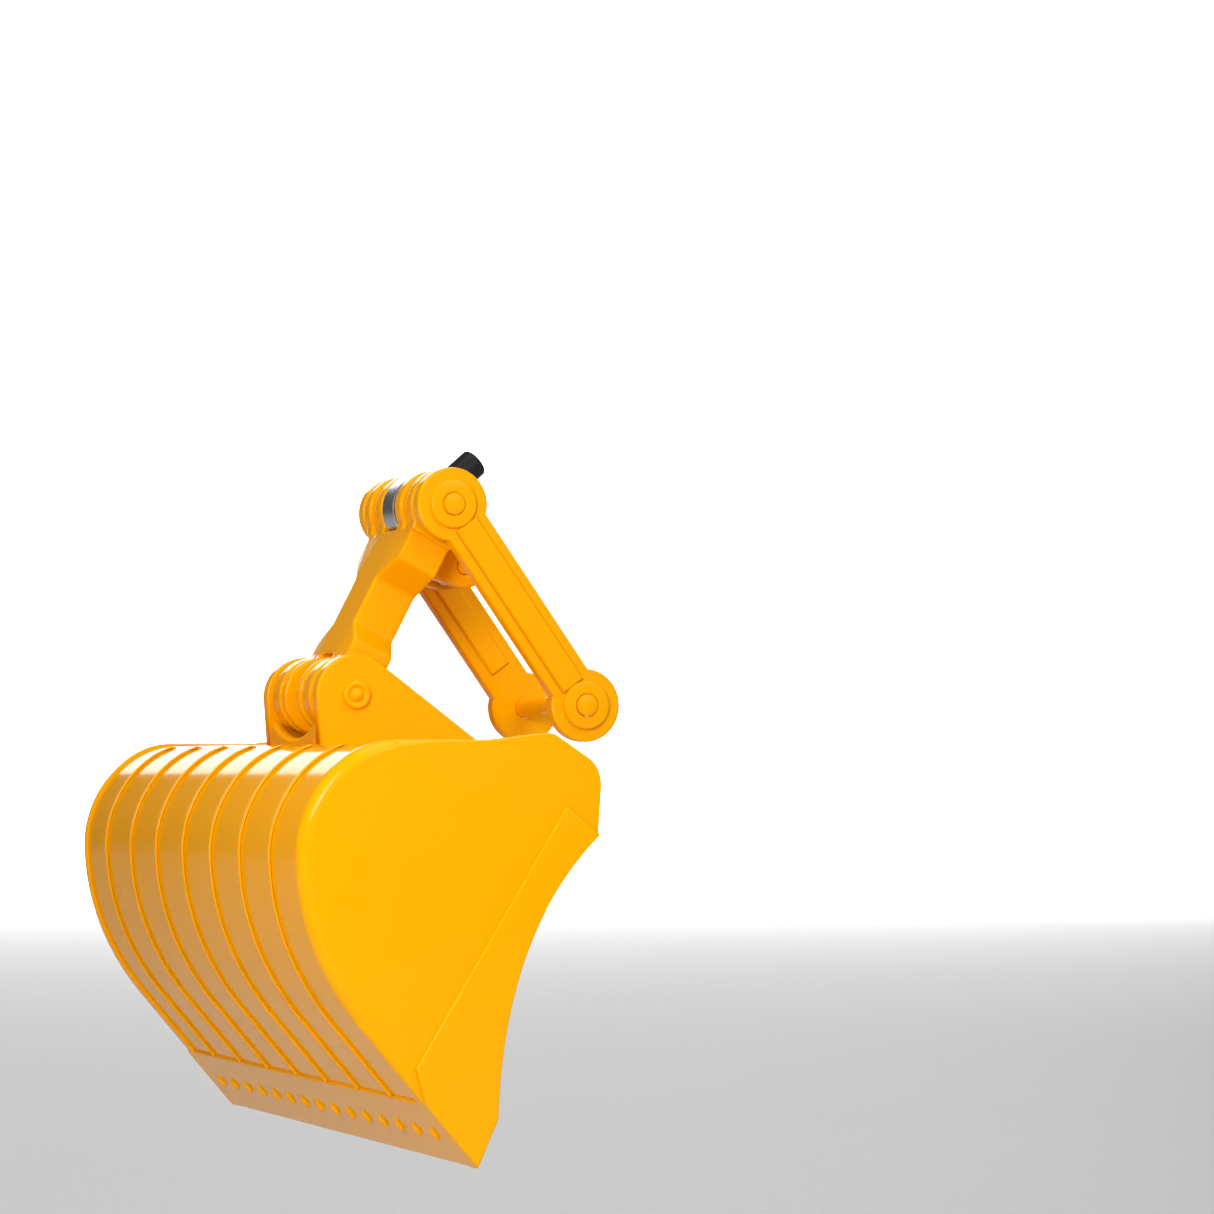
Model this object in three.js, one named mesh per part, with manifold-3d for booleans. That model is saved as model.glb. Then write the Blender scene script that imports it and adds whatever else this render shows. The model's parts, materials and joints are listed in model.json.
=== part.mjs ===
// Excavator bucket with its tipping linkage, in the style of a 1:16 toy machine.
// Millimetres, +Z up. The origin is the middle of the hinge pin that carries the bucket on its
// stick. +X points towards the machine, the pins lie along Y, and -Y is the bucket's left side.

import * as THREE from 'three';
import { mergeVertices } from 'three/addons/utils/BufferGeometryUtils.js';
import Module from 'manifold-3d';

const wasm = await Module();
wasm.setup();

// ---------------------------------------------------------------- driving dimensions

const BUCKET_WIDTH = 104;
const CUTTER_THICK = 0.8;          // side cutter plate on the outside of each wall
const WALL_THICK = 2.2;
const SHELL_THICK = 2.0;
const RIB_HEIGHT = 0.4;            // the ribs and the lip stand this far above the shell
const RIB_WIDTH = 0.8;
const RIB_COUNT = 7;
const RIB_PITCH = 12.8;

const WALL_OUT = BUCKET_WIDTH / 2 - CUTTER_THICK;
const WALL_IN = WALL_OUT - WALL_THICK;

// Side profile of the bucket, as [x, z] points in the plane of the arm.
const LIP_TIP = [-19, -45.1];
const BACK_LOW = [-33.5, -28.2];   // the straight lower back turns into the round back here
const BACK_MID = [-42.1, -6.2];    // rearmost point
const BACK_TOP = [-29.5, 8];       // the round back turns into the flat top here
const TOP_START = [-28.5, 8];      // the top plate is butted on here
const TOP_DIP = [-18.6, 8];
const TOP_CREST = [-9.6, 8.9];
const MOUTH_BEVEL = [-3.9, 5.8];
const MOUTH_TOP = [-2.4, 3.6];
const MOUTH_CORNER = [-2.8, -4.2];
const MOUTH_PULL = [-15.6, -16];      // the mouth curve leans towards this point
const MOUTH_LOW = [-16.3, -39];

const LIP_SHARE = 0.476;           // of the straight lower back that the lip band takes up
const LIP_THICK = 2.8;
const LIP_EDGE = { from: 2.5, thick: 1.1, tip: 0.6 };   // the band thins towards its edge
const CUTTER_LOW = [-27.1, -32.4];
const CUTTER_TOP = [-7.2, -0.3];
const RIDGE_COUNT = 15;
const RIDGE_PITCH = 6.5;
const RIDGE = { length: 3, width: 0.9, height: 0.45, fromTip: 4.2, rise: 0.4, fall: 0.9, sunk: 0.3 };

const TOP_Z = 7.2;                 // upper face of the top plate
const TOP_THICK = 2.2;
const BEAM = { back: -13, front: -8, bottom: 1.5 };

// Pin centres.
const HINGE = [0, 0];
const LINK_PIN = [-21.5, 14.2];
const TOP_PIN = [-8, 40];
const STICK_PIN = [11.3, 13];
const LEVER_PIN = [-3.5, 32];

const EAR = { inner: 9.75, outer: 12, tipR: 5.5, bossR: 4.1, heelX: -26.5 };
// The ear's foot: from behind the link pin down to the top plate, forward along it, round the
// beam's front to the hinge boss, and back up over the top.
const EAR_FOOT = [
  [LINK_PIN[0] - EAR.tipR, LINK_PIN[1] - 0.5], [EAR.heelX, TOP_Z], [BEAM.front, TOP_Z],
  [BEAM.front, -0.5], [-3.9, -1.2], [-2, 2], [-6, 8], [-16, 15.5], [LINK_PIN[0], LINK_PIN[1] + 3],
];
const WEB = { thick: 1.2, endHeight: 3.8, dip: -1.2 };
const BOSS_PROUD = 0.8;

const PIN_R = 1.5;
const HINGE_PIN_R = 2;
const LEVER_PIN_R = 1.1;
const BUSH = { r: 3, flangeR: 3.6 };
const RUN_GAP = 0.08;              // radial running clearance
const FIT_GAP = 0.04;              // radial gap where a piece is held fast
const END_GAP = 0.05;              // along Y, between a spacer and its neighbours
// The link pin's domed head: [radius, height] from the ear's face to the crown.
const PIN_HEAD = [[0, 0], [1.9, 0], [1.9, 0.45], [1.6, 0.6], [1.1, 0.6], [0.95, 0.35], [0.75, 0.6],
  [0.4, 0.8], [0, 0.85]];

const LINK = {
  back: -2.8, front: 3.5,          // across the arm plane, from the line of its two pins
  waist: 4.5, lowerHalf: 7.9, upperHalf: 8.9,
  lowerFrom: 1.5, lowerTo: 7.4, waistFrom: 10, waistTo: 16.8, upperFrom: 19.8, upperTo: 24.6,
  lowLugs: [[2.5, 3.75], [5, 8]], lowLugR: 5.3, lowNeckTo: 4.5, lowNeckBack: -3.6, lowNeckFront: 3.9,
  topLugs: [[2.75, 5.25], [7.5, 9.75]], topLugR: 5, topNeckFrom: 24, topNeckHalf: 3.6,
  leverLugIn: 2.75, leverLugOut: 5.25, leverLugR: 3, leverRoot: [22.2, 1.5], leverRootR: 2.2,
  spacerR: 2.3,
};

const TIP = { inner: 10.25, outer: 12.5, bossR: 5, barHalf: 3.2, stripHalf: 1.45, stripProud: 0.45 };
const COLLAR = { outerR: 3.3, proud: 0.5, pinProud: 0.25, clear: 0.4 };

const ROD_EYE = { r: 5, rimIn: 4.3, half: 2.2, shankFrom: 2.5, shankTo: 10.5, spigotR: 2.05, angle: 41 };
const LEVER_EYE = { r: 2.45, rimIn: 1.95, half: 2.2, shankFrom: 1.4, shankTo: 5.6, armHalf: 1.4,
  armHalfWide: 1.5, angle: 14 };
const EYE_ROOM = 0.5;              // round an eye, between the lugs

const ROUND = 40;                  // sides of a full-size circle

// ---------------------------------------------------------------- materials

const paint = (color, roughness, metalness = 0) =>
  new THREE.MeshStandardMaterial({ color, roughness, metalness });
const yellow = paint(0xf7b100, 0.28);
const orange = paint(0xf2a000, 0.3);
const black = paint(0x232323, 0.42);
const bright = paint(0xd6d6d4, 0.2, 0.95);

// ---------------------------------------------------------------- helpers

const group = new THREE.Group();

function solid(geometry) {
  const bare = geometry.index ? geometry.toNonIndexed() : geometry.clone();
  bare.deleteAttribute('normal');
  bare.deleteAttribute('uv');
  const merged = mergeVertices(bare, 1e-5);
  return new wasm.Manifold(new wasm.Mesh({
    numProp: 3,
    vertProperties: new Float32Array(merged.attributes.position.array),
    triVerts: new Uint32Array(merged.index.array),
  }));
}

function geometryOf(manifold) {
  const { vertProperties, triVerts } = manifold.getMesh();
  const geometry = new THREE.BufferGeometry();
  geometry.setAttribute('position', new THREE.BufferAttribute(new Float32Array(vertProperties), 3));
  geometry.setIndex(new THREE.BufferAttribute(new Uint32Array(triVerts), 1));
  return geometry;
}

function add(name, shape, material) {
  const geometry = shape.isBufferGeometry ? shape : geometryOf(shape);
  const mesh = new THREE.Mesh(geometry, material);
  mesh.name = name;
  group.add(mesh);
}

// A flat piece: an [x, z] outline given thickness from y0 to y1.
function plate(outline, y0, y1) {
  const shape = outline.isShape ? outline : new THREE.Shape(outline.map(([x, z]) => new THREE.Vector2(x, z)));
  const geometry = new THREE.ExtrudeGeometry(shape, {
    depth: y1 - y0, bevelEnabled: false, curveSegments: 12,
  });
  geometry.rotateX(Math.PI / 2);
  return geometry.translate(0, y1, 0);
}

function disc([x, z], r, y0, y1, sides = ROUND) {
  return new THREE.CylinderGeometry(r, r, y1 - y0, sides).translate(x, (y0 + y1) / 2, z);
}

// A ring or stepped round piece about the Y axis through a pin centre; points are [radius, y].
function turned([x, z], points, sides = ROUND) {
  const closed = [...points, points[0]].map(([r, y]) => new THREE.Vector2(r, y));
  return new THREE.LatheGeometry(closed, sides).translate(x, 0, z);
}

const along = ([ax, az], [bx, bz], t) => [ax + (bx - ax) * t, az + (bz - az) * t];
const distance = ([ax, az], [bx, bz]) => Math.hypot(bx - ax, bz - az);

// Points of an outline moved sideways by d, to the right of its direction of travel.
function offset(points, d) {
  return points.map((p, i) => {
    const a = points[Math.max(i - 1, 0)];
    const b = points[Math.min(i + 1, points.length - 1)];
    const length = distance(a, b);
    return [p[0] + (b[1] - a[1]) / length * d, p[1] - (b[0] - a[0]) / length * d];
  });
}

const mirrored = (side, near, far) => (side < 0 ? [-far, -near] : [near, far]);
const SIDES = [['left', -1], ['right', 1]];

// ---------------------------------------------------------------- bucket profile

const LIP_START = along(LIP_TIP, BACK_LOW, LIP_SHARE);

// The back of the bucket from the start of the lip band, up and over to the flat top.
function backCurve() {
  const lower = new THREE.CubicBezierCurve(
    new THREE.Vector2(...BACK_LOW), new THREE.Vector2(-38.9, -21.9),
    new THREE.Vector2(BACK_MID[0], -14.3), new THREE.Vector2(...BACK_MID));
  const upper = new THREE.CubicBezierCurve(
    new THREE.Vector2(...BACK_MID), new THREE.Vector2(BACK_MID[0], 0.6),
    new THREE.Vector2(-36.4, BACK_TOP[1]), new THREE.Vector2(...BACK_TOP));
  const points = [...lower.getPoints(9), ...upper.getPoints(11).slice(1)];
  return [LIP_START, ...points.map((p) => [p.x, p.y]), TOP_START];
}

const back = backCurve();

// The hollow front edge of a side wall, from its upper corner down to the lip.
const mouth = new THREE.QuadraticBezierCurve(
  new THREE.Vector2(...MOUTH_CORNER), new THREE.Vector2(...MOUTH_PULL), new THREE.Vector2(...MOUTH_LOW),
).getPoints(12).map((p) => [p.x, p.y]);

const wallOutline = [LIP_TIP, ...back, TOP_DIP, TOP_CREST, MOUTH_BEVEL, MOUTH_TOP, ...mouth];

// ---------------------------------------------------------------- bucket shell

function bucketShell() {
  const outer = offset(back, RIB_HEIGHT);
  const inner = offset(back, RIB_HEIGHT + SHELL_THICK);
  add('wrapper_shell', plate([...outer, ...inner.reverse()], -WALL_IN, WALL_IN), yellow);

  // The flat top runs from the end of the round back to the beam at the mouth.
  const topBack = TOP_START[0];
  const top = plate([
    [topBack, TOP_Z], [BEAM.front, TOP_Z], [BEAM.front, TOP_Z - TOP_THICK],
    [topBack, TOP_Z - TOP_THICK],
  ], -WALL_IN, WALL_IN);
  add('top_plate', top, yellow);

  const beamTop = TOP_Z - TOP_THICK;
  add('mouth_beam', plate([
    [BEAM.back, beamTop], [BEAM.front, beamTop], [BEAM.front, BEAM.bottom], [BEAM.back, BEAM.bottom],
  ], -WALL_IN, WALL_IN), yellow);
}

function sideWalls() {
  const cutter = [LIP_TIP, along(LIP_TIP, LIP_START, 0.98), CUTTER_LOW, CUTTER_TOP, ...mouth];
  for (const [word, side] of SIDES) {
    add(`side_wall_${word}`, plate(wallOutline, ...mirrored(side, WALL_IN, WALL_OUT)), yellow);
    add(`side_cutter_${word}`, plate(cutter, ...mirrored(side, WALL_OUT, BUCKET_WIDTH / 2)), yellow);
  }
}

function lip() {
  const run = distance(LIP_TIP, LIP_START);
  const dir = [(LIP_START[0] - LIP_TIP[0]) / run, (LIP_START[1] - LIP_TIP[1]) / run];
  const inward = [-dir[1], dir[0]].map((v) => -v);
  const step = (from, d, n) => [from[0] + dir[0] * d + inward[0] * n, from[1] + dir[1] * d + inward[1] * n];
  const wedge = [
    LIP_TIP, LIP_START, step(LIP_START, 0, LIP_THICK), step(LIP_TIP, LIP_EDGE.from, LIP_EDGE.thick),
    step(LIP_TIP, 0, LIP_EDGE.tip),
  ];
  let body = solid(plate(wedge, -WALL_IN, WALL_IN));
  for (let i = 0; i < RIDGE_COUNT; i++) {
    const y = (i - (RIDGE_COUNT - 1) / 2) * RIDGE_PITCH;
    const near = RIDGE.fromTip;
    const far = near + RIDGE.length;
    const bump = [
      step(LIP_TIP, near, RIDGE.sunk), step(LIP_TIP, near + RIDGE.rise, -RIDGE.height),
      step(LIP_TIP, far - RIDGE.fall, -RIDGE.height), step(LIP_TIP, far, RIDGE.sunk),
    ];
    body = body.add(solid(plate(bump.reverse(), y - RIDGE.width / 2, y + RIDGE.width / 2)));
  }
  add('lip_plate', body, yellow);
}

function backRibs() {
  const shell = offset(back, RIB_HEIGHT);
  const end = back.length - 4;            // the ribs stop here, just short of the flat top
  const strip = [...back.slice(0, end), ...shell.slice(0, end + 1).reverse()];
  for (let i = 0; i < RIB_COUNT; i++) {
    const y = (i - (RIB_COUNT - 1) / 2) * RIB_PITCH;
    add(`back_rib_${i + 1}`, plate(strip, y - RIB_WIDTH / 2, y + RIB_WIDTH / 2), yellow);
  }
}

// ---------------------------------------------------------------- hinge ears

// Outline of a plate that wraps two round ends, [centre, radius] each, joined by their tangents.
function wrapped(a, ra, b, rb, sides = 14) {
  const span = distance(a, b);
  const heading = Math.atan2(b[1] - a[1], b[0] - a[0]);
  const lean = Math.acos((ra - rb) / span);
  const arc = ([x, z], r, from, to) => Array.from({ length: sides + 1 }, (_, i) => {
    const t = from + (to - from) * i / sides;
    return [x + r * Math.cos(t), z + r * Math.sin(t)];
  });
  return [
    ...arc(a, ra, heading + lean, heading + 2 * Math.PI - lean),
    ...arc(b, rb, heading - lean, heading + lean),
  ];
}

function earOutline() {
  const wrap = wrapped(LINK_PIN, EAR.tipR, HINGE, EAR.bossR, 20);
  const foot = solid(plate(EAR_FOOT, EAR.inner, EAR.outer));
  const body = solid(plate(wrap, EAR.inner, EAR.outer)).add(foot);
  // Nothing of it reaches below the top plate or behind the beam's front.
  const below = [[BACK_MID[0], TOP_Z], [BEAM.front, TOP_Z], [BEAM.front, -20], [BACK_MID[0], -20]];
  return body.subtract(solid(plate(below.reverse(), EAR.inner - 1, EAR.outer + 1)));
}

function ears() {
  for (const [word, side] of SIDES) {
    const [y0, y1] = mirrored(side, EAR.inner, EAR.outer);
    let ear = earOutline().translate([0, y0 - EAR.inner, 0]);
    ear = ear.subtract(solid(disc(LINK_PIN, PIN_R + FIT_GAP, y0 - 1, y1 + 1)));
    ear = ear.subtract(solid(disc(HINGE, BUSH.r + FIT_GAP, y0 - 1, y1 + 1)));
    add(`hinge_ear_${word}`, ear, orange);

    // The bush is pressed into the ear, and the pin turns in it.
    const inner = side * EAR.inner;
    const face = side * EAR.outer;
    const outer = side * (EAR.outer + BOSS_PROUD);
    const bore = HINGE_PIN_R + RUN_GAP;
    const bush = [
      [bore, inner], [BUSH.r, inner], [BUSH.r, face], [BUSH.flangeR, face], [BUSH.flangeR, outer],
      [bore, outer],
    ];
    add(`hinge_bush_${word}`, turned(HINGE, side < 0 ? bush.reverse() : bush), orange);
  }
  const pinEnd = EAR.outer + BOSS_PROUD;
  add('hinge_pin', disc(HINGE, HINGE_PIN_R, -pinEnd, pinEnd), orange);

  // Curved web that ties the two ears together at their heel.
  const web = new THREE.Shape();
  web.moveTo(-EAR.inner, 0);
  web.lineTo(EAR.inner, 0);
  web.lineTo(EAR.inner, WEB.endHeight);
  web.quadraticCurveTo(0, WEB.dip, -EAR.inner, WEB.endHeight);
  const webBody = new THREE.ExtrudeGeometry(
    web, { depth: WEB.thick, bevelEnabled: false, curveSegments: 16 });
  webBody.rotateX(Math.PI / 2).rotateZ(Math.PI / 2);
  add('ear_web', webBody.translate(EAR.heelX, 0, TOP_Z), orange);
}

// ---------------------------------------------------------------- bucket link

const linkLength = distance(LINK_PIN, TOP_PIN);
const linkDir = [(TOP_PIN[0] - LINK_PIN[0]) / linkLength, (TOP_PIN[1] - LINK_PIN[1]) / linkLength];
const linkAcross = [linkDir[1], -linkDir[0]];
const onLink = (u, v) => [
  LINK_PIN[0] + linkDir[0] * u + linkAcross[0] * v, LINK_PIN[1] + linkDir[1] * u + linkAcross[1] * v];

// The beam's width outline, [u, y], cut through its side outline, [u, v].
function linkBeam() {
  const half = [
    [LINK.lowerFrom, LINK.lowerHalf], [LINK.lowerTo, LINK.lowerHalf], [LINK.waistFrom, LINK.waist],
    [LINK.waistTo, LINK.waist], [LINK.upperFrom, LINK.upperHalf], [LINK.upperTo, LINK.upperHalf],
  ];
  const outline = [...half, ...half.map(([u, y]) => [u, -y]).reverse()];
  const shape = new THREE.Shape(outline.map(([u, y]) => new THREE.Vector2(y, u)));
  const depth = LINK.front - LINK.back;
  const body = new THREE.ExtrudeGeometry(shape, { depth, bevelEnabled: false });
  const [ox, oz] = onLink(0, LINK.back);
  // Shape x to world Y, shape y along the link, depth across it.
  const basis = new THREE.Matrix4().makeBasis(
    new THREE.Vector3(0, 1, 0), new THREE.Vector3(linkDir[0], 0, linkDir[1]),
    new THREE.Vector3(linkAcross[0], 0, linkAcross[1]));
  body.applyMatrix4(basis.setPosition(ox, 0, oz));
  return solid(body);
}

function bucketLink() {
  let body = linkBeam();
  for (const side of [-1, 1]) {
    const lever = mirrored(side, LINK.leverLugIn, LINK.leverLugOut);
    const lowNeck = [
      onLink(0, LINK.lowNeckBack), onLink(LINK.lowNeckTo, LINK.back),
      onLink(LINK.lowNeckTo, LINK.front), onLink(0, LINK.lowNeckFront),
    ];
    const topNeck = [
      onLink(LINK.topNeckFrom, LINK.back), onLink(linkLength, -LINK.topNeckHalf),
      onLink(linkLength, LINK.topNeckHalf), onLink(LINK.topNeckFrom, LINK.front),
    ];
    const leverNeck = wrapped(onLink(...LINK.leverRoot), LINK.leverRootR, LEVER_PIN, LINK.leverLugR, 16);
    for (const lug of LINK.lowLugs) {
      const low = mirrored(side, ...lug);
      body = body.add(solid(disc(LINK_PIN, LINK.lowLugR, ...low))).add(solid(plate(lowNeck, ...low)));
    }
    for (const lug of LINK.topLugs) {
      const top = mirrored(side, ...lug);
      body = body.add(solid(disc(TOP_PIN, LINK.topLugR, ...top))).add(solid(plate(topNeck, ...top)));
    }
    body = body.add(solid(plate(leverNeck, ...lever)));
  }
  // Room in the middle for the two eyes, and the three bores.
  const relief = (centre, r, half) => solid(disc(centre, r, -half, half));
  const lowIn = LINK.lowLugs[0][0];
  const topIn = LINK.topLugs[0][0];
  body = body.subtract(relief(TOP_PIN, ROD_EYE.r + EYE_ROOM, topIn));
  body = body.subtract(relief(LINK_PIN, LINK.lowLugR + EYE_ROOM, lowIn));
  body = body.subtract(relief(LEVER_PIN, LEVER_EYE.r + EYE_ROOM, LINK.leverLugIn));
  body = body.subtract(relief(LINK_PIN, PIN_R + RUN_GAP, EAR.outer));
  body = body.subtract(relief(TOP_PIN, PIN_R + RUN_GAP, EAR.outer));
  body = body.subtract(relief(LEVER_PIN, LEVER_PIN_R + FIT_GAP, EAR.outer));
  add('bucket_link_body', body, orange);

  const bore = PIN_R + RUN_GAP;
  const end = lowIn - END_GAP;
  const spacer = [[bore, -end], [LINK.spacerR, -end], [LINK.spacerR, end], [bore, end]];
  add('link_pin_spacer', turned(LINK_PIN, spacer), orange);
  add('lever_pin', disc(LEVER_PIN, LEVER_PIN_R, -LINK.leverLugOut, LINK.leverLugOut, 24), orange);
}

// The lower pin is held in the bucket's ears, with a domed head at each end.
function linkPin() {
  add('link_pin', disc(LINK_PIN, PIN_R, -EAR.outer, EAR.outer), orange);
  for (const [word, side] of SIDES) {
    const head = PIN_HEAD.map(([r, h]) => new THREE.Vector2(r, side * (EAR.outer + h)));
    const cap = new THREE.LatheGeometry(side < 0 ? head.reverse() : head, ROUND);
    add(`link_pin_cap_${word}`, cap.translate(LINK_PIN[0], 0, LINK_PIN[1]), orange);
  }
}

// ---------------------------------------------------------------- tipping links

function tippingLinks() {
  const length = distance(TOP_PIN, STICK_PIN);
  const dir = [(STICK_PIN[0] - TOP_PIN[0]) / length, (STICK_PIN[1] - TOP_PIN[1]) / length];
  const at = (u, v) => [TOP_PIN[0] + dir[0] * u - dir[1] * v, TOP_PIN[1] + dir[1] * u + dir[0] * v];
  const bar = (from, to, half) => [at(from, -half), at(to, -half), at(to, half), at(from, half)];
  for (const [word, side] of SIDES) {
    const whole = mirrored(side, TIP.inner, TIP.outer);
    let link = solid(disc(TOP_PIN, TIP.bossR, ...whole));
    link = link.add(solid(disc(STICK_PIN, TIP.bossR, ...whole)));
    link = link.add(solid(plate(bar(0, length, TIP.barHalf), ...whole)));
    const strip = mirrored(side, TIP.inner + 0.5, TIP.outer + TIP.stripProud);
    const clear = COLLAR.outerR + COLLAR.clear;
    link = link.add(solid(plate(bar(clear, length - clear, TIP.stripHalf), ...strip)));
    for (const centre of [TOP_PIN, STICK_PIN]) {
      link = link.subtract(solid(disc(centre, PIN_R + FIT_GAP, -20, 20)));
    }
    add(`tipping_link_${word}`, link, yellow);

    for (const [place, centre] of [['top', TOP_PIN], ['stick', STICK_PIN]]) {
      const y0 = side * TIP.outer, y1 = side * (TIP.outer + COLLAR.proud), bore = PIN_R + FIT_GAP;
      const ring = [[bore, y0], [COLLAR.outerR, y0], [COLLAR.outerR, y1], [bore, y1]];
      add(`${place}_pin_collar_${word}`, turned(centre, side < 0 ? ring.reverse() : ring), yellow);
    }
  }
  const end = TIP.outer + COLLAR.proud + COLLAR.pinProud;
  add('top_pin', disc(TOP_PIN, PIN_R, -end, end), yellow);
  add('stick_pin', disc(STICK_PIN, PIN_R, -end, end), yellow);
}

// ---------------------------------------------------------------- cylinder and lever eyes

// A black hub that turns on a pin, with its shank, and the bright rim pressed round it. The shank
// comes out through an opening in the rim.
function eye(name, centre, e, bore, shank) {
  const hub = solid(disc(centre, e.rimIn, -e.half, e.half)).add(shank(e, 0));
  add(`${name}_eye`, hub.subtract(solid(disc(centre, bore, -e.half - 1, e.half + 1))), black);

  const inner = e.rimIn + FIT_GAP;
  const ring = solid(turned(centre, [[inner, -e.half], [e.r, -e.half], [e.r, e.half], [inner, e.half]]));
  add(`${name}_eye_rim`, ring.subtract(shank(e, FIT_GAP)), bright);
}

// The round spigot that the cylinder's rod tube is pushed on to, thicker all round by grow.
function rodShank(e, grow) {
  const from = e.shankFrom;
  const to = e.shankTo + grow;
  const r = e.spigotR + grow;
  const spigot = new THREE.CylinderGeometry(r, r, to - from, 32);
  spigot.rotateZ(-Math.PI / 2).translate((from + to) / 2, 0, 0);
  spigot.rotateY(-THREE.MathUtils.degToRad(e.angle));
  return solid(spigot.translate(TOP_PIN[0], 0, TOP_PIN[1]));
}

// The flat stub of the control lever, thicker all round by grow.
function leverShank(e, grow) {
  const turn = THREE.MathUtils.degToRad(e.angle);
  const axis = [Math.cos(turn), Math.sin(turn)];
  const half = e.armHalf + grow;
  const at = (u, v) => [
    LEVER_PIN[0] + axis[0] * u - axis[1] * v, LEVER_PIN[1] + axis[1] * u + axis[0] * v];
  const to = e.shankTo + grow;
  const arm = [at(e.shankFrom, -half), at(to, -half), at(to, half), at(e.shankFrom, half)];
  return solid(plate(arm, -e.armHalfWide - grow, e.armHalfWide + grow));
}

bucketShell();
sideWalls();
lip();
backRibs();
ears();
linkPin();
bucketLink();
tippingLinks();
eye('rod', TOP_PIN, ROD_EYE, PIN_R + RUN_GAP, rodShank);
eye('lever', LEVER_PIN, LEVER_EYE, LEVER_PIN_R + RUN_GAP, leverShank);

export default group;
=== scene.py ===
# %% [markdown]
# # A toy excavator's bucket and its tipping linkage
#
# The mechanism comes in as a fixed frame: plain faceted solids, each already at its place and
# riding on its body. This lesson gives every one of them its real moulded shape. Each new piece
# is drawn as an outline, given thickness, and has its edges rounded as a mould rounds them.

# %% Load the frame
import json
import math

import bpy
from mathutils import Matrix, Vector


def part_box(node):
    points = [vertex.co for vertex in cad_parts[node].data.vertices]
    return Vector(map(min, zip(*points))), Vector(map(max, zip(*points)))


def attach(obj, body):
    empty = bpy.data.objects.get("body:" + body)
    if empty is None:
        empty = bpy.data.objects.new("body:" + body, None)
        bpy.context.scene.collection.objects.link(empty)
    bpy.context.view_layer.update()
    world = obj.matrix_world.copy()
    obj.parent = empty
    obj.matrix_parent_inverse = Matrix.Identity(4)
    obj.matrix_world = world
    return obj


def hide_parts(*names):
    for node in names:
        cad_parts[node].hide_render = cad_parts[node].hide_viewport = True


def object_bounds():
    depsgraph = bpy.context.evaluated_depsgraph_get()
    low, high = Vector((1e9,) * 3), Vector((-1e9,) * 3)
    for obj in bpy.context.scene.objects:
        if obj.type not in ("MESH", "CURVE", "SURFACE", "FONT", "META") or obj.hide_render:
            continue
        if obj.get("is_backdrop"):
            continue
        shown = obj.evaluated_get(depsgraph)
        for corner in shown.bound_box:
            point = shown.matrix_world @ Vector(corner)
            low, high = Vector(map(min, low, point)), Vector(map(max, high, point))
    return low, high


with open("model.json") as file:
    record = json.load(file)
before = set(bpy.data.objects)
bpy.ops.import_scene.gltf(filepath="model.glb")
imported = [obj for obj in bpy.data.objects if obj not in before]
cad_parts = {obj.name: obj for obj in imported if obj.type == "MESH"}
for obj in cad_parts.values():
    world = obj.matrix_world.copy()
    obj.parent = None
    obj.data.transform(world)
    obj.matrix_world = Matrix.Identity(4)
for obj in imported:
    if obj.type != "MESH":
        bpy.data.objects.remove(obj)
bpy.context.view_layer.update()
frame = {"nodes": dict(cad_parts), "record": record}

MM = 0.001

# %% [markdown]
# ## The camera
#
# The toy is seen from its left side, a little from behind the bucket and from just below the
# pin. A long lens keeps the far wall almost as large as the near one. The camera is set first,
# so that every later choice can be judged through it.

# %% Camera
CAMERA_AT = Vector((-194.2, -520.1, 4.7)) * MM
CAMERA_TURN = math.radians(22.34)     # from +Y towards +X
CAMERA_RISE = math.radians(2.27)
SENSOR = 36
LENS = 119.2

bpy.ops.object.select_all(action="DESELECT")
bpy.ops.object.camera_add(location=CAMERA_AT)
camera = bpy.context.object
camera.name = "studio_camera"
look = Vector((
    math.sin(CAMERA_TURN) * math.cos(CAMERA_RISE),
    math.cos(CAMERA_TURN) * math.cos(CAMERA_RISE),
    math.sin(CAMERA_RISE),
))
camera.rotation_euler = look.to_track_quat("-Z", "Y").to_euler()
camera.data.sensor_width = SENSOR
camera.data.lens = LENS
camera.data.clip_start = 10 * MM
bpy.context.scene.camera = camera
bpy.context.scene.view_settings.view_transform = "Standard"
print("camera", [round(v / MM) for v in camera.location])

# %% [markdown]
# ## Shader maths as Python
#
# A material is a network of nodes, and long networks are hard to read. Wrapping a socket in a
# small class lets a height be written as `swell + grain * 0.012`, and each operator adds its own
# Math node. `Paint.node` makes any other node from its type, its settings and its inputs.

# %% Socket wrapper
class Value:
    """One output socket, with the sums that can be written on it."""

    def __init__(self, paint, socket):
        self.paint = paint
        self.socket = socket

    def maths(self, operation, other):
        return self.paint.node("ShaderNodeMath", {"operation": operation}, {0: self, 1: other})

    def __add__(self, other):
        return self.maths("ADD", other)

    def __mul__(self, other):
        return self.maths("MULTIPLY", other)

    __radd__ = __add__
    __rmul__ = __mul__


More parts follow.
